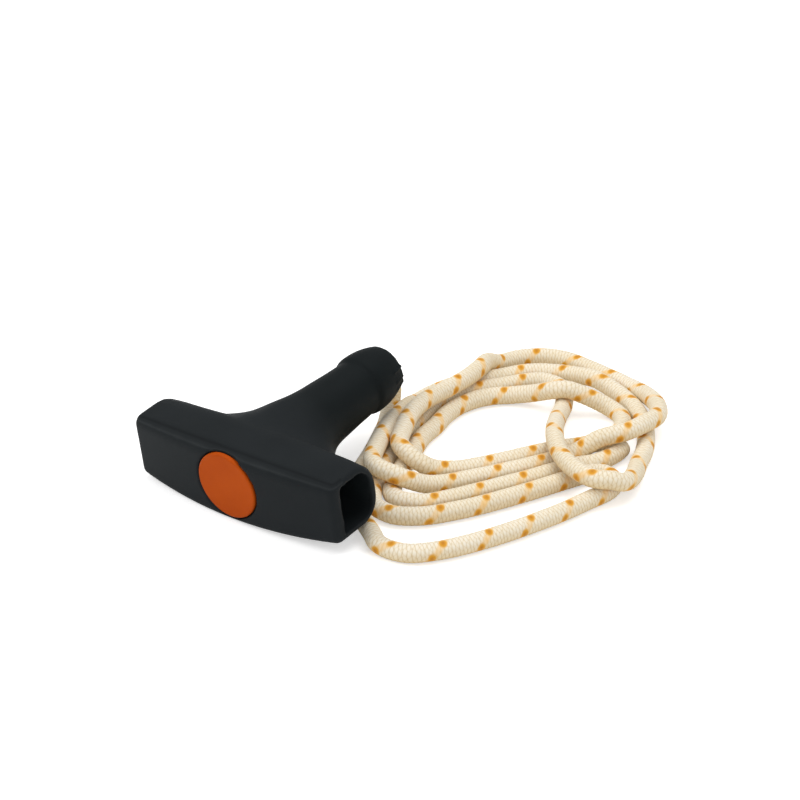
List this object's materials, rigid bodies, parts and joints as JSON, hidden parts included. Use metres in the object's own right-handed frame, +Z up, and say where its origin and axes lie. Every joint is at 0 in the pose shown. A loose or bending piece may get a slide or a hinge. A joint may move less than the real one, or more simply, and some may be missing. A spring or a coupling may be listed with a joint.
{
  "type": "recoil starter handle",
  "caption": "T-shaped pull handle for an engine's recoil starter: a hollow bowed crossbar on a stem with a rope collar, with its braided starter rope lying in loose loops.",
  "frame": {"origin": "on the surface that the handle lies on, under the middle of the handle's box, the free rope left out", "axes": "+X along the crossbar, +Y along the stem towards the rope collar, +Z up from the surface"},
  "size_m": [0.0966, 0.114, 0.0234],
  "materials": {
    "black_plastic": "moulded, fine matt grain",
    "orange_plastic": "moulded, satin",
    "cream_rope": "solid braid with brown tracer yarns"
  },
  "bodies": {
    "root": {"grip_body": "black_plastic", "cap": "orange_plastic", "rope_knot": "cream_rope", "rope": "cream_rope", "rope_hank": "cream_rope"}
  },
  "joints": []
}
